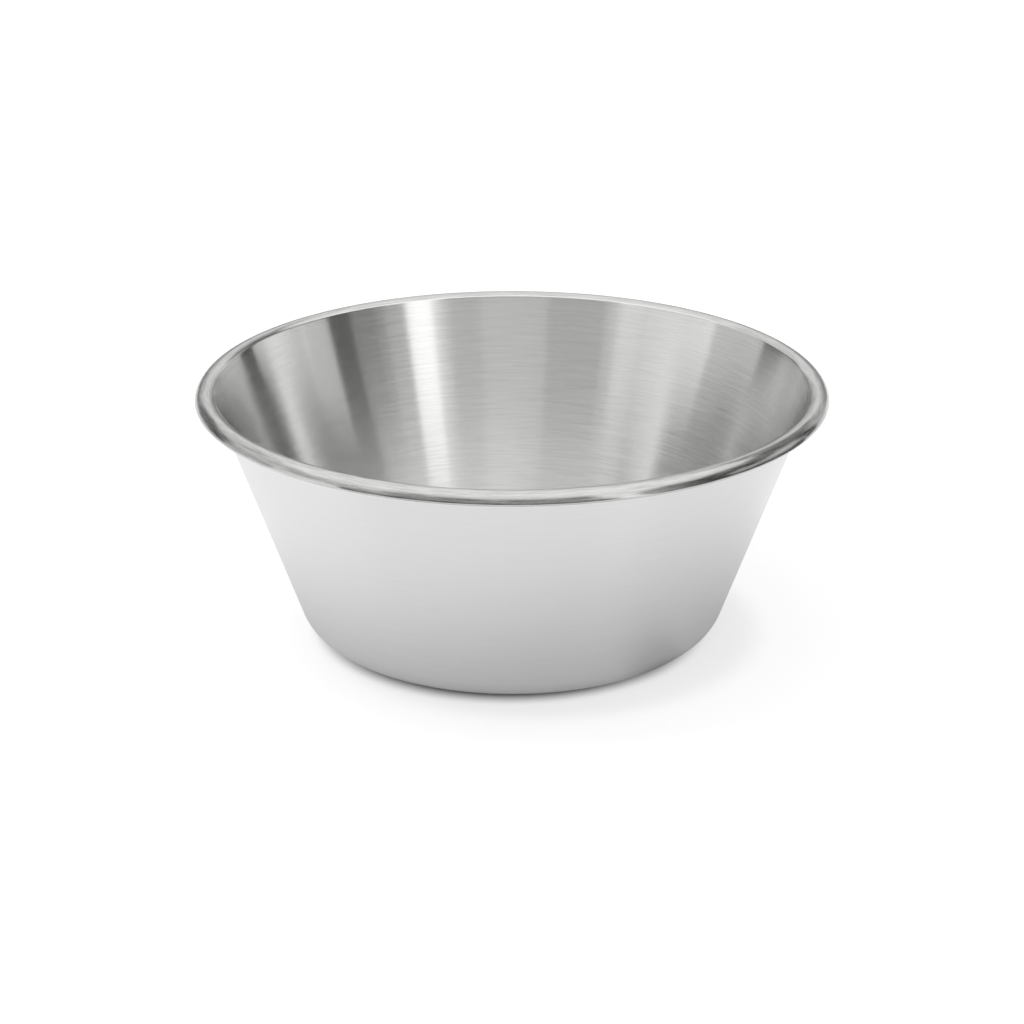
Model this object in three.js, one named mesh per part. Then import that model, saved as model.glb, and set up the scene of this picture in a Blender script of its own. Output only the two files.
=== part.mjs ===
// A stainless steel kitchen basin: a flat-bottomed conical bowl spun from one sheet, whose wall bends out
// into a domed rim and folds under a stiffening wire. Millimetres, +Z up, and the origin is the centre of
// the base, on the surface that the basin stands on.
import * as THREE from "three";

// Driving dimensions
const rimDiameter = 250; // over the rolled rim
const basinHeight = 101; // from the standing surface to the top of the rim
const footDiameter = 164.2; // outer face of the wall, carried straight down to the standing surface
const cornerRadius = 14; // outer face, between floor and wall
const sheetThickness = 0.7;
const lipRadius = 1.2; // upper face of the bend between wall and rim
const crownRadius = 4.8; // upper face of the domed rim
const crownRun = 2.8; // from the crest of the rim inwards to the bend of the lip
const hemRadius = 0.9; // outer face of the fold at the edge of the rim
const wireDiameter = 2.8;
const wireClearance = 0.2; // above and below the wire, between crest and fold
const wireButtGap = 0.6; // between the two cut ends of the wire

// Facets
const turnSegments = 96;
const cornerSteps = 6;
const lipSteps = 4;
const crownInSteps = 3;
const crownOutSteps = 6;
const hemSideSteps = 2;
const hemUnderSteps = 4;
const wireSides = 10;

// Places that follow from the sizes above, in the half-plane of radius and height
const wireRadius = wireDiameter / 2;
const wireHeight = basinHeight - sheetThickness - wireClearance - wireRadius;
const hemInside = hemRadius - sheetThickness;
const foldHeight = wireHeight - wireRadius - wireClearance; // upper face of the fold under the wire
const hemCentre = new THREE.Vector2(rimDiameter / 2 - hemRadius, foldHeight + hemInside);
const crownHeight = basinHeight - crownRadius; // of the dome's centre
const crownToHem = crownRadius - hemRadius;
const crownOut = Math.acos((hemCentre.y - crownHeight) / crownToHem); // from the crest to the fold
const crownIn = Math.asin(crownRun / crownRadius); // from the crest to the bend of the lip
const crownCentre = new THREE.Vector2(hemCentre.x - crownToHem * Math.sin(crownOut), crownHeight);
const lipCentre = onCircle(crownCentre, crownRadius - lipRadius, Math.PI / 2 + crownIn);
const freeEdge = crownCentre.x - wireRadius; // the fold reaches under the whole wire
const wallFoot = new THREE.Vector2(footDiameter / 2, 0);
const wallAngle = wallLean();
const cornerCentre = new THREE.Vector2(
  wallFoot.x + cornerRadius * (Math.tan(wallAngle) - 1 / Math.cos(wallAngle)),
  cornerRadius,
);

// The wall's lean from the vertical: its outer face runs from the foot and touches the underside of the bend.
function wallLean() {
  const toLip = lipCentre.clone().sub(wallFoot);
  const undersideRadius = lipRadius - sheetThickness;
  return Math.atan2(toLip.x, toLip.y) - Math.asin(undersideRadius / toLip.length());
}

// A point on a circle in the half-plane.
function onCircle(centre, radius, angle) {
  return new THREE.Vector2(centre.x + radius * Math.cos(angle), centre.y + radius * Math.sin(angle));
}

// Points of an arc in the half-plane, from one angle to another, both ends included.
function arc(centre, radius, from, to, steps) {
  const turn = (to - from) / steps;
  return Array.from({ length: steps + 1 }, (_, i) => onCircle(centre, radius, from + turn * i));
}

// One face of the sheet, from the centre of the floor to the free edge under the wire.
// The inset is how far this face lies above the face that touches the standing surface.
function sheetFace(inset) {
  const down = -Math.PI / 2;
  const up = Math.PI / 2;
  const lipFace = lipRadius - sheetThickness + inset;
  const crownFace = crownRadius - sheetThickness + inset;
  const hemFace = hemInside + inset;
  return [
    new THREE.Vector2(0, inset),
    ...arc(cornerCentre, cornerRadius - inset, down, -wallAngle, cornerSteps),
    ...arc(lipCentre, lipFace, Math.PI - wallAngle, up + crownIn, lipSteps),
    ...arc(crownCentre, crownFace, up + crownIn, up, crownInSteps).slice(1),
    ...arc(crownCentre, crownFace, up, up - crownOut, crownOutSteps).slice(1),
    ...arc(hemCentre, hemFace, up - crownOut, 0, hemSideSteps).slice(1),
    ...arc(hemCentre, hemFace, 0, down, hemUnderSteps).slice(1),
    new THREE.Vector2(freeEdge, hemCentre.y - hemFace),
  ];
}

// The bowl: the lower face out to the free edge, then the upper face back to the axis.
function basinShell() {
  const profile = [...sheetFace(0), ...sheetFace(sheetThickness).reverse()];
  return new THREE.LatheGeometry(profile, turnSegments).rotateX(Math.PI / 2);
}

// The middle line of the wire: a ring that stops short of itself at the butt.
class WireRing extends THREE.Curve {
  getPoint(share, target = new THREE.Vector3()) {
    const gapAngle = wireButtGap / crownCentre.x;
    const angle = gapAngle / 2 + share * (2 * Math.PI - gapAngle);
    return target.set(crownCentre.x * Math.cos(angle), crownCentre.x * Math.sin(angle), wireHeight);
  }
}

// The stiffening wire, lying in the fold of the sheet under the crest of the rim.
function rimWire() {
  const section = new THREE.Shape().absarc(0, 0, wireRadius, 0, 2 * Math.PI);
  return new THREE.ExtrudeGeometry(section, {
    steps: turnSegments,
    curveSegments: wireSides / 2,
    extrudePath: new WireRing(),
  });
}

const brushedSteel = new THREE.MeshStandardMaterial({ color: 0xc9c9c7, metalness: 1, roughness: 0.3 });
const drawnWire = new THREE.MeshStandardMaterial({ color: 0xa4a6a7, metalness: 1, roughness: 0.45 });

function piece(name, geometry, material) {
  const mesh = new THREE.Mesh(geometry, material);
  mesh.name = name;
  return mesh;
}

const basin = new THREE.Group();
basin.add(piece("basin_shell", basinShell(), brushedSteel));
basin.add(piece("rim_wire", rimWire(), drawnWire));

export default basin;
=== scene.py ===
import math

import bpy
import numpy as np
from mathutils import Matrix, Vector


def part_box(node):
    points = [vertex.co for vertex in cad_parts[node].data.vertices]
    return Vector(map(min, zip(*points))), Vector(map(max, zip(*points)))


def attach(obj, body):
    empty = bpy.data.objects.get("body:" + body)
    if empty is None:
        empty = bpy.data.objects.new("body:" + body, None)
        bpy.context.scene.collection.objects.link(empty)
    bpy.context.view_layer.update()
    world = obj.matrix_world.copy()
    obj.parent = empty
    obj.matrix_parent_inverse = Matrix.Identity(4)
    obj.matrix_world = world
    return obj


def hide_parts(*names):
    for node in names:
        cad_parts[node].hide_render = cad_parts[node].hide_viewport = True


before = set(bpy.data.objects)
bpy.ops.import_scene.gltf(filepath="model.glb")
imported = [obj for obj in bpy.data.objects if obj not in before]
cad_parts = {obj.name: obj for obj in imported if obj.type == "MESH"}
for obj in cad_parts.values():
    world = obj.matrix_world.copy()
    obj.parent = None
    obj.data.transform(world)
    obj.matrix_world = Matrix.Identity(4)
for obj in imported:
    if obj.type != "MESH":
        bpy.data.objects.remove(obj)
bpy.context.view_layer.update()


# helpers for both kinds of node tree
def addNode(tree, kind, inputs=None, **settings):
    made = tree.nodes.new(kind)
    for name, value in settings.items():
        setattr(made, name, value)
    for socket, value in (inputs or {}).items():
        if isinstance(value, bpy.types.NodeSocket):
            tree.links.new(value, made.inputs[socket])
        else:
            made.inputs[socket].default_value = value
    return made


def calc(tree, operation, *values):
    return addNode(tree, "ShaderNodeMath", dict(enumerate(values)), operation=operation).outputs[0]


def vectorCalc(tree, operation, *values, **named):
    inputs = {**dict(enumerate(values)), **named}
    return addNode(tree, "ShaderNodeVectorMath", inputs, operation=operation).outputs[0]


def newTree(name, inputs):
    tree = bpy.data.node_groups.new(name, "GeometryNodeTree")
    for label, kind in inputs.items():
        tree.interface.new_socket(label, in_out="INPUT", socket_type="NodeSocket" + kind)
    tree.interface.new_socket("Geometry", in_out="OUTPUT", socket_type="NodeSocketGeometry")
    return tree, tree.nodes.new("NodeGroupInput").outputs


def endTree(tree, geometry, material, *zones):
    real = addNode(tree, "GeometryNodeRealizeInstances", {"Geometry": geometry}).outputs[0]
    dressed = addNode(tree, "GeometryNodeSetMaterial", {
        "Geometry": real, "Material": material}).outputs[0]
    for chosen, finish in zones:
        dressed = addNode(tree, "GeometryNodeSetMaterial", {
            "Geometry": dressed, "Selection": chosen, "Material": finish}).outputs[0]
    addNode(tree, "NodeGroupOutput", {"Geometry": dressed})


# points nearer than mergeReach become one, and edges sharper than sharpAngle stay sharp
mergeReach = 1e-5
sharpAngle = math.radians(50)


# runs a tree on an empty mesh and keeps the result as a plain mesh
def growPiece(name, tree, values):
    piece = bpy.data.objects.new(name, bpy.data.meshes.new(name))
    bpy.context.scene.collection.objects.link(piece)
    grown = piece.modifiers.new("grow", "NODES")
    grown.node_group = tree
    for socket in tree.interface.items_tree:
        if socket.in_out == "INPUT":
            grown[socket.identifier] = values[socket.name]
    graph = bpy.context.evaluated_depsgraph_get()
    mesh = bpy.data.meshes.new_from_object(
        piece.evaluated_get(graph), preserve_all_data_layers=True, depsgraph=graph)
    piece.modifiers.clear()
    piece.data = mesh
    mesh.name = name
    mesh.set_sharp_from_angle(angle=sharpAngle)
    return piece


# sizes of the sheet, in metres: the rim's reach and height come from the frame
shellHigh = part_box("basin_shell")[1]
sheet = {
    "thickness": 0.0007,
    "footRadius": 0.0821,  # outer face of the wall, carried down to the floor
    "cornerRadius": 0.014,  # outer face
    "lipRadius": 0.0012,  # upper face of the bend between wall and rim
    "crownRadius": 0.0048,  # upper face of the domed rim
    "crownRun": 0.0028,  # from the crest inwards to the bend of the lip
    "hemRadius": 0.0009,  # outer face of the fold at the rim's edge
    "ringStep": 0.0025,  # longest run of the profile without a ring of points
    "turnSteps": 288,
    "arcSteps": {"corner": 14, "lip": 7, "crown": 24, "hem": 14},
}
wire = {
    "radius": 0.0014,
    "clearance": 0.0002,  # above and below, between crest and fold
    "buttGap": 0.0006,
    "turnSteps": 288,
    "sides": 14,
}


def onCircle(centre, radius, fromUp):
    return centre + radius * Vector((math.sin(fromUp), math.cos(fromUp)))


# places in the half-plane of radius and height, worked out from the rim inwards
def sheetPlaces():
    thickness = sheet["thickness"]
    hemToCrown = sheet["crownRadius"] - sheet["hemRadius"]
    wireHeight = shellHigh.z - thickness - wire["clearance"] - wire["radius"]
    hemHeight = wireHeight - wire["radius"] - wire["clearance"] + sheet["hemRadius"] - thickness
    hemCentre = Vector((shellHigh.x - sheet["hemRadius"], hemHeight))
    crownHeight = shellHigh.z - sheet["crownRadius"]
    crownOut = math.acos((hemHeight - crownHeight) / hemToCrown)
    crownIn = -math.asin(sheet["crownRun"] / sheet["crownRadius"])
    crownCentre = Vector((hemCentre.x - hemToCrown * math.sin(crownOut), crownHeight))
    lipCentre = onCircle(crownCentre, sheet["crownRadius"] - sheet["lipRadius"], crownIn)
    toLip = lipCentre - Vector((sheet["footRadius"], 0))
    lean = math.atan2(*toLip) - math.asin((sheet["lipRadius"] - thickness) / toLip.length)
    cornerX = sheet["footRadius"] + sheet["cornerRadius"] * (math.tan(lean) - 1 / math.cos(lean))
    freeEdge = crownCentre.x - wire["radius"]
    return {
        "Thickness": thickness,
        "Corner Centre": (cornerX, sheet["cornerRadius"], 0),
        "Corner Radius": sheet["cornerRadius"],
        "Lip Centre": (*lipCentre, 0),
        "Lip Radius": sheet["lipRadius"],
        "Crown Centre": (*crownCentre, 0),
        "Crown Radius": sheet["crownRadius"],
        "Hem Centre": (*hemCentre, 0),
        "Hem Radius": sheet["hemRadius"],
        "Wall Lean": lean,
        "Crown In": crownIn,
        "Crown Out": crownOut,
        "Fold Top": (freeEdge, hemHeight - sheet["hemRadius"] + thickness, 0),
        "Fold Under": (freeEdge, hemHeight - sheet["hemRadius"], 0),
        "Ring Step": sheet["ringStep"],
        "Turn Steps": sheet["turnSteps"],
        "Wire Ring": (crownCentre.x, wireHeight),
    }


# both faces of the sheet as one line of arcs, turned round the axis
def sheetTree():
    tree, given = newTree("turnedSheet", {
        "Thickness": "Float", "Wall Lean": "Float", "Crown In": "Float", "Crown Out": "Float",
        "Corner Centre": "Vector", "Corner Radius": "Float", "Lip Centre": "Vector", "Lip Radius": "Float",
        "Crown Centre": "Vector", "Crown Radius": "Float", "Hem Centre": "Vector", "Hem Radius": "Float",
        "Fold Top": "Vector", "Fold Under": "Vector", "Ring Step": "Float", "Turn Steps": "Int",
        "Outside Finish": "Material", "Inside Finish": "Material", "Rim Finish": "Material"})
    quarter = math.pi / 2
    wallUp = calc(tree, "SUBTRACT", quarter, given["Wall Lean"])
    crownIn = calc(tree, "SUBTRACT", quarter, given["Crown In"])
    crownOut = calc(tree, "SUBTRACT", quarter, given["Crown Out"])
    cornerEnd = calc(tree, "MULTIPLY", given["Wall Lean"], -1)
    lipStart = calc(tree, "ADD", wallUp, quarter)
    outside, inside, rim = 0.0, 1.0, 2.0  # zones of finish
    # name, start and end turn, and the zone on the upper face
    arcs = (
        ("Corner", -quarter, cornerEnd, inside),
        ("Lip", lipStart, crownIn, inside),
        ("Crown", crownIn, crownOut, rim),
        ("Hem", crownOut, -quarter, rim),
    )

    def stored(geometry, name, value):
        return addNode(tree, "GeometryNodeStoreNamedAttribute", {
            "Geometry": geometry, "Name": name, "Value": value},
            data_type="FLOAT", domain="POINT").outputs[0]

    def faceArc(name, begin, end, upper, zone):
        radius = given[name + " Radius"]
        if upper == (name == "Corner"):  # the corner bends the other way
            radius = calc(tree, "SUBTRACT", radius, given["Thickness"])
        if upper:
            begin, end = end, begin
        arc = addNode(tree, "GeometryNodeCurveArc", {
            "Resolution": sheet["arcSteps"][name.lower()] + 1, "Radius": radius, "Start Angle": begin,
            "Sweep Angle": calc(tree, "SUBTRACT", end, begin)}, mode="RADIUS").outputs[0]
        placed = addNode(tree, "GeometryNodeTransform", {
            "Geometry": arc, "Translation": given[name + " Centre"]}).outputs[0]
        points = addNode(tree, "GeometryNodeCurveToPoints", {"Curve": placed}, mode="EVALUATED")
        return stored(points.outputs[0], "zone", zone)

    def facePoint(position, zone):
        point = addNode(tree, "GeometryNodePoints", {"Position": position})
        return stored(point.outputs[0], "zone", zone)

    axisTop = addNode(tree, "ShaderNodeCombineXYZ", {"Y": given["Thickness"]}).outputs[0]
    runs = [facePoint((0, 0, 0), outside)]
    runs += [faceArc(name, begin, end, False, outside) for name, begin, end, zone in arcs]
    runs += [facePoint(given["Fold Top"], outside), facePoint(given["Fold Under"], rim)]
    runs += [faceArc(name, begin, end, True, zone) for name, begin, end, zone in reversed(arcs)]
    runs.append(facePoint(axisTop, inside))
    joined = addNode(tree, "GeometryNodeJoinGeometry")
    for run in reversed(runs):  # the last link in comes first
        tree.links.new(run, joined.inputs[0])
    line = addNode(tree, "GeometryNodePointsToCurves", {"Points": joined.outputs[0]}).outputs[0]

    # rings of points on the straight runs
    here = addNode(tree, "GeometryNodeInputPosition").outputs[0]
    after = addNode(tree, "GeometryNodeOffsetPointInCurve", {"Offset": 1}).outputs["Point Index"]
    there = addNode(tree, "GeometryNodeFieldAtIndex", {"Index": after, "Value": here},
                    data_type="FLOAT_VECTOR", domain="POINT").outputs[0]
    gap = addNode(tree, "ShaderNodeVectorMath", {0: here, 1: there}, operation="DISTANCE")
    cuts = calc(tree, "FLOOR", calc(tree, "DIVIDE", gap.outputs["Value"], given["Ring Step"]))
    ringed = addNode(tree, "GeometryNodeSubdivideCurve", {"Curve": line, "Cuts": cuts}).outputs[0]
    length = addNode(tree, "GeometryNodeSplineParameter").outputs["Length"]
    marked = stored(ringed, "along", length)

    # one turn round the axis: the rail's own radius is taken off the profile
    railRadius = 0.1
    rail = addNode(tree, "GeometryNodeCurvePrimitiveCircle", {
        "Resolution": given["Turn Steps"], "Radius": railRadius}, mode="RADIUS").outputs[0]
    place = addNode(tree, "ShaderNodeSeparateXYZ", {0: here}).outputs
    railed = addNode(tree, "ShaderNodeCombineXYZ", {
        "X": calc(tree, "SUBTRACT", place["X"], railRadius),
        "Y": calc(tree, "MULTIPLY", place["Y"], -1)}).outputs[0]
    profile = addNode(tree, "GeometryNodeSetPosition", {
        "Geometry": marked, "Position": railed}).outputs[0]
    turned = addNode(tree, "GeometryNodeCurveToMesh", {
        "Curve": rail, "Profile Curve": profile}).outputs[0]
    closed = addNode(tree, "GeometryNodeMergeByDistance", {
        "Geometry": turned, "Distance": mergeReach}).outputs[0]
    outward = addNode(tree, "GeometryNodeFlipFaces", {"Mesh": closed}).outputs[0]
    smooth = addNode(tree, "GeometryNodeSetShadeSmooth", {"Geometry": outward}).outputs[0]

    # a face between two zones holds their mean, and goes with the outside or with the rim
    zone = addNode(tree, "GeometryNodeInputNamedAttribute", {"Name": "zone"}, data_type="FLOAT")
    aboveOutside = calc(tree, "GREATER_THAN", zone.outputs["Attribute"], 0.6)
    aboveInside = calc(tree, "GREATER_THAN", zone.outputs["Attribute"], 1.4)
    endTree(tree, smooth, given["Outside Finish"],
            (aboveOutside, given["Inside Finish"]), (aboveInside, given["Rim Finish"]))
    return tree


# the wire in the fold: an open ring with two cut ends
def wireTree():
    tree, given = newTree("drawnRing", {
        "Ring Radius": "Float", "Ring Height": "Float", "Wire Radius": "Float", "Butt Gap": "Float",
        "Turn Steps": "Int", "Sides": "Int", "Wire Finish": "Material"})
    gap = calc(tree, "DIVIDE", given["Butt Gap"], given["Ring Radius"])
    arc = addNode(tree, "GeometryNodeCurveArc", {
        "Resolution": given["Turn Steps"], "Radius": given["Ring Radius"],
        "Start Angle": calc(tree, "MULTIPLY", gap, 0.5),
        "Sweep Angle": calc(tree, "SUBTRACT", 2 * math.pi, gap)}, mode="RADIUS").outputs[0]
    section = addNode(tree, "GeometryNodeCurvePrimitiveCircle", {
        "Resolution": given["Sides"], "Radius": given["Wire Radius"]}, mode="RADIUS").outputs[0]
    drawn = addNode(tree, "GeometryNodeCurveToMesh", {
        "Curve": arc, "Profile Curve": section, "Fill Caps": True}).outputs[0]
    height = addNode(tree, "ShaderNodeCombineXYZ", {"Z": given["Ring Height"]}).outputs[0]
    seated = addNode(tree, "GeometryNodeTransform", {
        "Geometry": drawn, "Translation": height}).outputs[0]
    closed = addNode(tree, "GeometryNodeMergeByDistance", {
        "Geometry": seated, "Distance": mergeReach}).outputs[0]
    smooth = addNode(tree, "GeometryNodeSetShadeSmooth", {"Geometry": closed}).outputs[0]
    endTree(tree, smooth, given["Wire Finish"])
    return tree


# how finely the streaks break up, the same for every finish
streakGrain = {
    "fineDetail": 3,
    "broadDetail": 2,
    "breakUp": 0.6,
}


# brushed steel: streaks run round the axis, on the distance along the sheet
def brushedSteel(name, finish):
    material = bpy.data.materials.new(name)
    material.use_nodes = True
    tree = material.node_tree
    shader = tree.nodes["Principled BSDF"]
    place = addNode(tree, "ShaderNodeTexCoord").outputs["Object"]
    around = vectorCalc(tree, "NORMALIZE", vectorCalc(tree, "MULTIPLY", place, (1, 1, 0)))
    along = addNode(tree, "ShaderNodeAttribute", attribute_name="along").outputs["Fac"]

    def streaks(turns, lines, detail):
        wide = vectorCalc(tree, "SCALE", around, Scale=turns)
        high = addNode(tree, "ShaderNodeCombineXYZ", {"Z": calc(tree, "MULTIPLY", along, lines)})
        spot = vectorCalc(tree, "ADD", wide, high.outputs[0])
        return addNode(tree, "ShaderNodeTexNoise", {
            "Vector": spot, "Scale": 1.0, "Detail": detail,
            "Roughness": streakGrain["breakUp"]}).outputs["Fac"]

    fine = streaks(*finish["fineStreaks"], streakGrain["fineDetail"])
    broad = streaks(*finish["broadStreaks"], streakGrain["broadDetail"])
    share = finish["broadShare"]
    both = calc(tree, "MULTIPLY_ADD", broad, share, calc(tree, "MULTIPLY", fine, 1 - share))

    def spreadOver(middle, spread):
        return addNode(tree, "ShaderNodeMapRange", {
            "Value": both, "From Min": 0.5 - finish["softness"], "From Max": 0.5 + finish["softness"],
            "To Min": middle - spread, "To Max": middle + spread}).outputs[0]

    steel = vectorCalc(tree, "SCALE", finish["steel"], Scale=spreadOver(1, finish["toneSpread"]))
    rough = spreadOver(finish["roughness"], finish["roughSpread"])
    bump = addNode(tree, "ShaderNodeBump", {
        "Strength": finish["bump"], "Distance": finish["bumpDepth"], "Height": fine}).outputs[0]
    tangent = addNode(tree, "ShaderNodeTangent", direction_type="RADIAL", axis="Z").outputs[0]
    tree.links.new(steel, shader.inputs["Base Color"])
    tree.links.new(rough, shader.inputs["Roughness"])
    tree.links.new(bump, shader.inputs["Normal"])
    tree.links.new(tangent, shader.inputs["Tangent"])
    shader.inputs["Metallic"].default_value = 1.0
    shader.inputs["Anisotropic"].default_value = finish["anisotropy"]
    shader.inputs["Anisotropic Rotation"].default_value = finish["turn"]
    return material


# streaks are given as waves round the turn and lines per metre along the sheet
outsideFinish = {
    "steel": (0.82, 0.82, 0.82),
    "toneSpread": 0.015,
    "softness": 0.15,
    "roughness": 0.30,
    "roughSpread": 0.02,
    "anisotropy": 0.8,
    "turn": 0.25,
    "fineStreaks": (5.0, 1500.0),
    "broadStreaks": (1.5, 400.0),
    "broadShare": 0.3,
    "bump": 0.05,
    "bumpDepth": 0.0001,
}
insideFinish = {
    "steel": (0.83, 0.83, 0.82),
    "toneSpread": 0.04,
    "softness": 0.12,
    "roughness": 0.20,
    "roughSpread": 0.01,
    "anisotropy": 1.0,
    "turn": 0.25,
    "fineStreaks": (5.0, 1500.0),
    "broadStreaks": (1.5, 600.0),
    "broadShare": 0.1,
    "bump": 0.003,
    "bumpDepth": 0.0001,
}
rimFinish = {
    "steel": (0.61, 0.61, 0.60),
    "toneSpread": 0.12,
    "softness": 0.10,
    "roughness": 0.22,
    "roughSpread": 0.04,
    "anisotropy": 0.9,
    "turn": 0.25,
    "fineStreaks": (12.0, 1600.0),
    "broadStreaks": (4.0, 800.0),
    "broadShare": 0.3,
    "bump": 0.1,
    "bumpDepth": 0.0001,
}
wireFinish = {
    "steel": (0.5, 0.51, 0.51),
    "toneSpread": 0.05,
    "softness": 0.15,
    "roughness": 0.42,
    "roughSpread": 0.05,
    "anisotropy": 0.5,
    "turn": 0.25,
    "fineStreaks": (3.0, 2500.0),
    "broadStreaks": (1.0, 800.0),
    "broadShare": 0.4,
    "bump": 0.1,
    "bumpDepth": 0.0001,
}
print("finishes set")


# a map with the turn across and the sheet's own line up, for the bake
def turnMap(mesh):
    count = len(mesh.vertices)
    points = np.empty(count * 3)
    mesh.vertices.foreach_get("co", points)
    points = points.reshape(-1, 3)
    line = np.empty(count)
    mesh.attributes["along"].data.foreach_get("value", line)
    rows = np.unique(np.round(line, 7), return_inverse=True)[1].ravel()
    up = 0.5 * line / line.max() + 0.5 * rows / rows.max()
    corners = np.empty(len(mesh.loops), dtype=int)
    mesh.loops.foreach_get("vertex_index", corners)
    sides = np.empty(len(mesh.polygons), dtype=int)
    mesh.polygons.foreach_get("loop_total", sides)
    face = np.repeat(np.arange(len(sides)), sides)
    middle = np.zeros((len(sides), 2))
    np.add.at(middle, face, points[corners, :2])
    faceTurn = np.arctan2(middle[:, 1], middle[:, 0])[face] % (2 * math.pi)
    turn = np.arctan2(points[corners, 1], points[corners, 0])
    swing = (turn - faceTurn + math.pi) % (2 * math.pi) - math.pi
    swing[np.hypot(*points[corners, :2].T) < mergeReach] = 0  # the pole has no turn of its own
    spread = np.stack([(faceTurn + swing) / (2 * math.pi), up[corners]], axis=1)
    bakeMap = mesh.uv_layers.new(name="OFBake")
    bakeMap.data.foreach_set("uv", np.clip(spread, 0, 1).ravel())


places = sheetPlaces()
wireReach, wireHeight = places["Wire Ring"]
shell = growPiece("basinSheet", sheetTree(), {
    **places,
    "Outside Finish": brushedSteel("satinOutside", outsideFinish),
    "Inside Finish": brushedSteel("brushedInside", insideFinish),
    "Rim Finish": brushedSteel("rolledRim", rimFinish)})
turnMap(shell.data)
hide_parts("basin_shell")
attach(shell, "root")

ring = growPiece("rimWire", wireTree(), {
    "Ring Radius": wireReach, "Ring Height": wireHeight, "Wire Radius": wire["radius"],
    "Butt Gap": wire["buttGap"], "Turn Steps": wire["turnSteps"], "Sides": wire["sides"],
    "Wire Finish": brushedSteel("drawnWire", wireFinish)})
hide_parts("rim_wire")
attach(ring, "root")
for piece in (shell, ring):
    print(piece.name, len(piece.data.vertices), "points", len(piece.data.polygons), "faces")

# studio: white floor and surround, with pale and dark cards that the steel mirrors
studio = {
    "floorReach": 30.0,
    "floorColour": (0.5, 0.5, 0.5, 1),
    "floorRoughness": 0.9,
    # what the floor gives beyond the light on it, coming in between two distances from a centre;
    # held back near each centre, it adds painted shade to the floor's real shading: the contact shadow,
    # a faint shadow to the right, and darker floor round the base and to the right-front in the steel;
    # the first two for the camera, and all but the second for the steel
    "paintedContactShadowLift": {"lift": 0.58, "centre": (-0.001, -0.005, 0), "span": (0.0695, 0.0815)},
    "paintedShadowLift": {"lift": 0.1, "centre": (0.012, -0.010, 0), "span": (0.078, 0.095)},
    "paintedShadeMirrorLift": {"lift": 0.58, "centre": (0.012, 0, 0), "span": (0.03, 0.16)},
    "paintedSideShadowLift": {"lift": 0.58, "centre": (0.056, -0.052, 0), "span": (0.0, 0.062)},
    "surround": 0.8,
    "cardDistance": 4.0,
    "cardStep": 3,  # degrees between the points of a card
    "cardLift": 0.002,  # of the cards that lie on the floor
    "ceilingRise": 1.0,
    "ceilingGlow": 1.15,
    "keyFrom": (-0.35, 0.05, 1.0),
    "keySpread": math.radians(24),
    "keyStrength": 0.4,
}


# 1 where a ray comes straight from the camera, and 1 where it comes by way of metal or glass
def seenRays(tree):
    rays = addNode(tree, "ShaderNodeLightPath").outputs
    bounced = calc(tree, "MAXIMUM", rays["Is Glossy Ray"], rays["Is Transmission Ray"])
    return rays["Is Camera Ray"], bounced


def stagePiece(name, points, faces, material):
    mesh = bpy.data.meshes.new(name)
    mesh.from_pydata(points, [], faces)
    mesh.materials.append(material)
    piece = bpy.data.objects.new(name, mesh)
    bpy.context.scene.collection.objects.link(piece)
    return piece


def floorPiece():
    material = bpy.data.materials.new("paleFloor")
    material.use_nodes = True
    tree = material.node_tree
    shader = tree.nodes["Principled BSDF"]
    shader.inputs["Base Color"].default_value = studio["floorColour"]
    shader.inputs["Roughness"].default_value = studio["floorRoughness"]
    shader.inputs["Specular IOR Level"].default_value = 0.0
    shader.inputs["Emission Color"].default_value = (1, 1, 1, 1)
    place = addNode(tree, "ShaderNodeTexCoord").outputs["Object"]

    def liftOver(name, fade):
        given = studio[name]
        nearest, full = given["span"]
        away = addNode(tree, "ShaderNodeVectorMath", {
            0: place, 1: given["centre"]}, operation="DISTANCE").outputs["Value"]
        return addNode(tree, "ShaderNodeMapRange", {
            "Value": away, "From Min": nearest, "From Max": full, "To Max": given["lift"]},
            interpolation_type=fade).outputs[0]

    direct, bounced = seenRays(tree)
    # the floor's glow is held back near the basin: painted shade round the base, seen by the camera and
    # mirrored by the steel
    contact = liftOver("paintedContactShadowLift", "SMOOTHSTEP")
    seenLift = calc(tree, "ADD", contact, liftOver("paintedShadowLift", "SMOOTHSTEP"))
    # painted shade that only the steel mirrors: darker floor round the base and towards the right-front
    shaded = calc(tree, "MINIMUM", liftOver("paintedShadeMirrorLift", "LINEAR"), liftOver("paintedSideShadowLift", "LINEAR"))
    paintedShadeMirrorLift = calc(tree, "MINIMUM", contact, shaded)
    seen = calc(tree, "MULTIPLY", direct, seenLift)
    mirrored = calc(tree, "MULTIPLY", bounced, paintedShadeMirrorLift)
    tree.links.new(calc(tree, "MAXIMUM", seen, mirrored), shader.inputs["Emission Strength"])
    reach = studio["floorReach"]
    corners = [(-reach, -reach, 0), (reach, -reach, 0), (reach, reach, 0), (-reach, reach, 0)]
    stagePiece("floor", corners, [(0, 1, 2, 3)], material)


def whiteSurround():
    world = bpy.data.worlds.new("whiteSurround")
    bpy.context.scene.world = world
    world.use_nodes = True
    tree = world.node_tree
    seen = calc(tree, "MAXIMUM", *seenRays(tree))
    level = addNode(tree, "ShaderNodeMapRange", {
        "Value": seen, "To Min": studio["surround"], "To Max": 1.0}).outputs[0]
    tree.links.new(level, tree.nodes["Background"].inputs["Strength"])
    tree.nodes["Background"].inputs["Color"].default_value = (1, 1, 1, 1)


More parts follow.
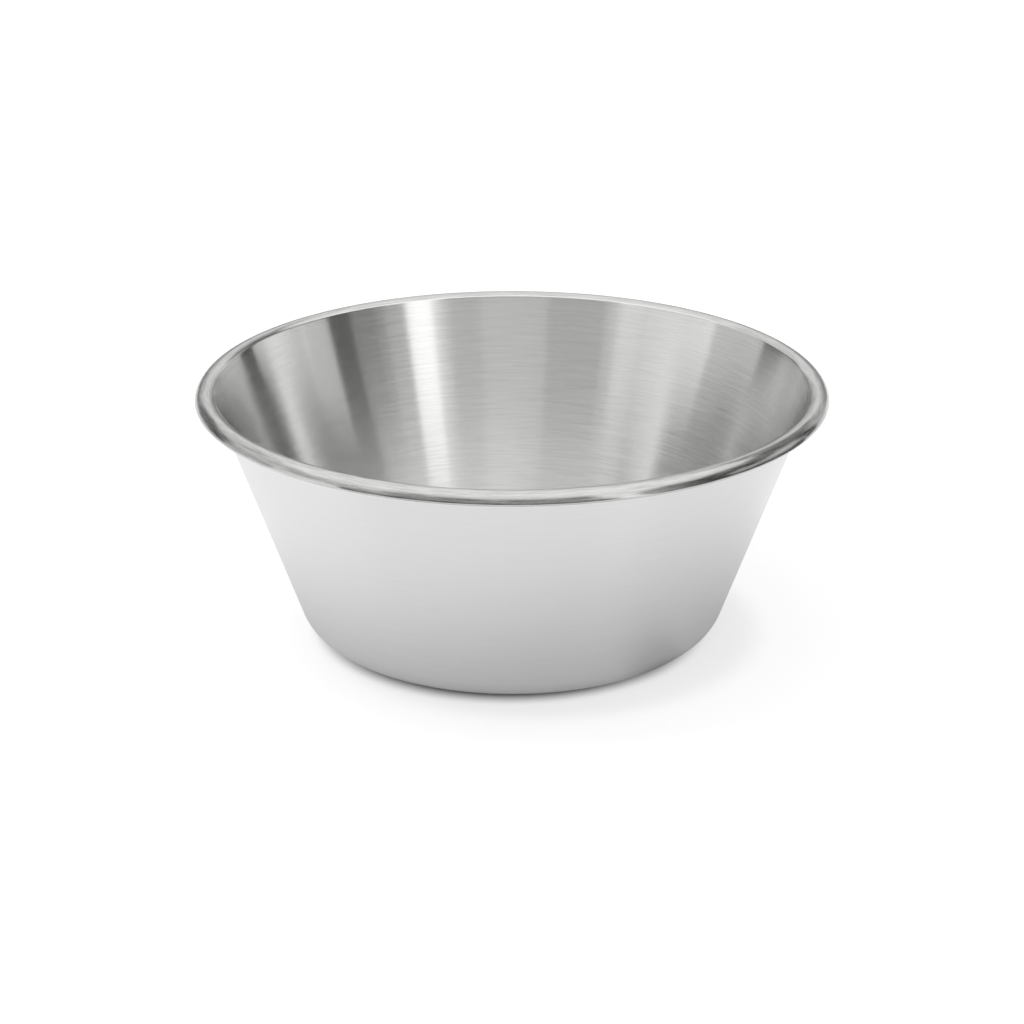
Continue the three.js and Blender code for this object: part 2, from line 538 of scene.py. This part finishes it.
# turns in degrees, 0 to the right and -90 towards the camera; heights as rise over distance
cards = (
    {"name": "frontWindow", "turn": (-56.4, -45.3), "rise": (0, 1), "glow": 1.3},
    {"name": "frontRightShade", "turn": (-45.3, -36), "rise": (0, 0.42), "glow": 0.58},
    {"name": "rightShade", "turn": (-36, -20.5), "rise": (0, 0.42), "glow": 0.39},
    {"name": "rightDark", "turn": (-20.5, -9.5), "rise": (0, 1), "glow": 0.09},
    {"name": "rightGrey", "turn": (-9.5, 4.5), "rise": (0, 0.42), "glow": 0.96},
    {"name": "rightFar", "turn": (4.5, 14), "rise": (0, 0.42), "glow": 0.78},
    {"name": "rightPale", "turn": (14, 26), "rise": (0, 0.5), "glow": 0.86},
    {"name": "rightEdge", "turn": (26, 33.5), "rise": (0, 0.5), "glow": 0.72},
    {"name": "backRightDark", "turn": (33.5, 43), "rise": (0, 0.5), "glow": 0.02},
    {"name": "backRightGrey", "turn": (43, 66), "rise": (0, 0.5), "glow": 0.53},
    {"name": "backPale", "turn": (66, 114), "rise": (0.33, 0.6), "glow": 0.95},
    {"name": "backGrey", "turn": (60, 120), "rise": (0.2, 0.34), "glow": 0.55, "near": 0.4},
    {"name": "backShade", "turn": (60, 120), "rise": (0.12, 0.21), "glow": 0.33, "near": 0.5},
    {"name": "backDark", "turn": (60, 120), "rise": (0.0, 0.13), "glow": 0.12, "near": 0.6},
    {"name": "backLeftShade", "turn": (114, 137), "rise": (0, 0.5), "glow": 0.18},
    {"name": "backLeftGrey", "turn": (137, 152), "rise": (0, 0.5), "glow": 0.18},
    {"name": "backLeftDark", "turn": (138, 151), "rise": (0, 0.2), "glow": 0.02, "near": 0.3},
    {"name": "leftGrey", "turn": (152, 180), "rise": (0, 0.5), "glow": 0.6},
    {"name": "leftPale", "turn": (-180, -147), "rise": (0, 0.385), "glow": 1.0},
    {"name": "leftMid", "turn": (-180, -147), "rise": (0.385, 0.6), "glow": 0.4},
    {"name": "leftFront", "turn": (-147, -129.5), "rise": (0, 0.46), "glow": 0.88},
    {"name": "leftFrontMid", "turn": (-147, -129.5), "rise": (0.46, 0.6), "glow": 0.5},
    {"name": "frontLeftShade", "turn": (-129.5, -105), "rise": (0, 0.65), "glow": 0.6},
    {"name": "frontGrey", "turn": (-105, -77), "rise": (0, 0.65), "glow": 0.77},
    {"name": "frontShade", "turn": (-77, -64), "rise": (0, 0.65), "glow": 0.67},
    {"name": "windowEdge", "turn": (-64, -56.4), "rise": (0, 0.65), "glow": 0.72},
    {"name": "frontHigh", "turn": (-140, -58), "rise": (0.62, 1.2), "glow": 0.1, "near": 2.0},
    {"name": "frontLow", "turn": (-140, -60), "rise": (0.06, 0.5), "glow": 0.1, "near": 3.67},
    {"name": "backRightHigh", "turn": (14, 70), "rise": (0.48, 0.95), "glow": 0.2, "near": 0.3},
    {"name": "backRightFade", "turn": (70, 84), "rise": (0.58, 0.95), "glow": 0.55, "near": 0.3},
    {"name": "leftHigh", "turn": (120, 215), "rise": (0.55, 1.0), "glow": 0.7, "near": 0.3},
    {"name": "rightHigh", "turn": (-43, -30), "rise": (0.42, 0.75), "glow": 0.2, "near": 1.1},
    {"name": "rightHighDark", "turn": (-30, 14), "rise": (0.38, 1.0), "glow": 0.04, "near": 1.1},
    {"name": "rightLow", "turn": (-40, 14), "rise": (0.06, 0.42), "glow": 0.03, "near": 3.67},
)
# dark cards lying on the floor outside the picture, from one distance to another
floorCards = (
    {"name": "frontFloor", "turn": (-135, -58), "reach": (0.36, 4.0), "glow": 0.12},
    {"name": "rightFloor", "turn": (-45, 14), "reach": (0.36, 4.0), "glow": 0.06},
)


# a card between two edges, each given as distance from the axis and height
def studioCard(card, lowEdge, highEdge):
    begin, end = card["turn"]
    steps = max(2, round((end - begin) / studio["cardStep"]))
    turns = np.radians(np.linspace(begin, end, steps + 1))
    points = []
    for reach, height in (lowEdge, highEdge):
        points += [(reach * math.cos(turn), reach * math.sin(turn), height) for turn in turns]
    faces = [(i, i + 1, steps + 2 + i, steps + 1 + i) for i in range(steps)]
    material = bpy.data.materials.new(card["name"])
    material.use_nodes = True
    tree = material.node_tree
    tree.nodes.remove(tree.nodes["Principled BSDF"])
    glow = addNode(tree, "ShaderNodeEmission", {"Strength": card["glow"]}).outputs[0]
    tree.links.new(glow, tree.nodes["Material Output"].inputs["Surface"])
    material.cycles.emission_sampling = "NONE"
    panel = stagePiece(card["name"], points, faces, material)
    panel.visible_camera = False
    panel.visible_diffuse = False
    panel.visible_shadow = False


def studioCards():
    distance = studio["cardDistance"]
    for card in cards:
        reach = distance - card.get("near", 0)
        studioCard(card, *((reach, reach * rise) for rise in card["rise"]))
    for card in floorCards:
        studioCard(card, *((reach, studio["cardLift"]) for reach in card["reach"]))
    top = distance * studio["ceilingRise"]
    ceiling = {"name": "ceiling", "turn": (0, 360), "glow": studio["ceilingGlow"]}
    studioCard(ceiling, (distance, top), (0, top))


def keyLamp():
    lamp = bpy.data.lights.new("keyLamp", "SUN")
    lamp.angle = studio["keySpread"]
    lamp.energy = studio["keyStrength"]
    key = bpy.data.objects.new("keyLamp", lamp)
    key.location = studio["keyFrom"]
    key.rotation_mode = "QUATERNION"
    key.rotation_quaternion = (-Vector(studio["keyFrom"])).to_track_quat("-Z", "Y")
    key.visible_glossy = False  # the steel mirrors the cards
    bpy.context.scene.collection.objects.link(key)


# the photograph's view, in the 1024 by 1024 frame
view = {
    "eye": Vector((0, -1.0643, 0.4647)),
    "pitch": 0.3753,  # downwards
    "focalPixels": 2842,
    "framePixels": 1024,
    "sensorMillimetres": 36,
    "clip": (0.01, 200),
}


def photoCamera():
    camera = bpy.data.objects.new("photoCamera", bpy.data.cameras.new("photoCamera"))
    camera.location = view["eye"]
    camera.rotation_euler = (math.pi / 2 - view["pitch"], 0, 0)
    camera.data.sensor_width = view["sensorMillimetres"]
    camera.data.lens = view["focalPixels"] / view["framePixels"] * view["sensorMillimetres"]
    camera.data.clip_start, camera.data.clip_end = view["clip"]
    bpy.context.scene.collection.objects.link(camera)
    bpy.context.scene.camera = camera


floorPiece()
whiteSurround()
studioCards()
keyLamp()
photoCamera()
bpy.context.scene.view_settings.view_transform = "Standard"
print("studio set")
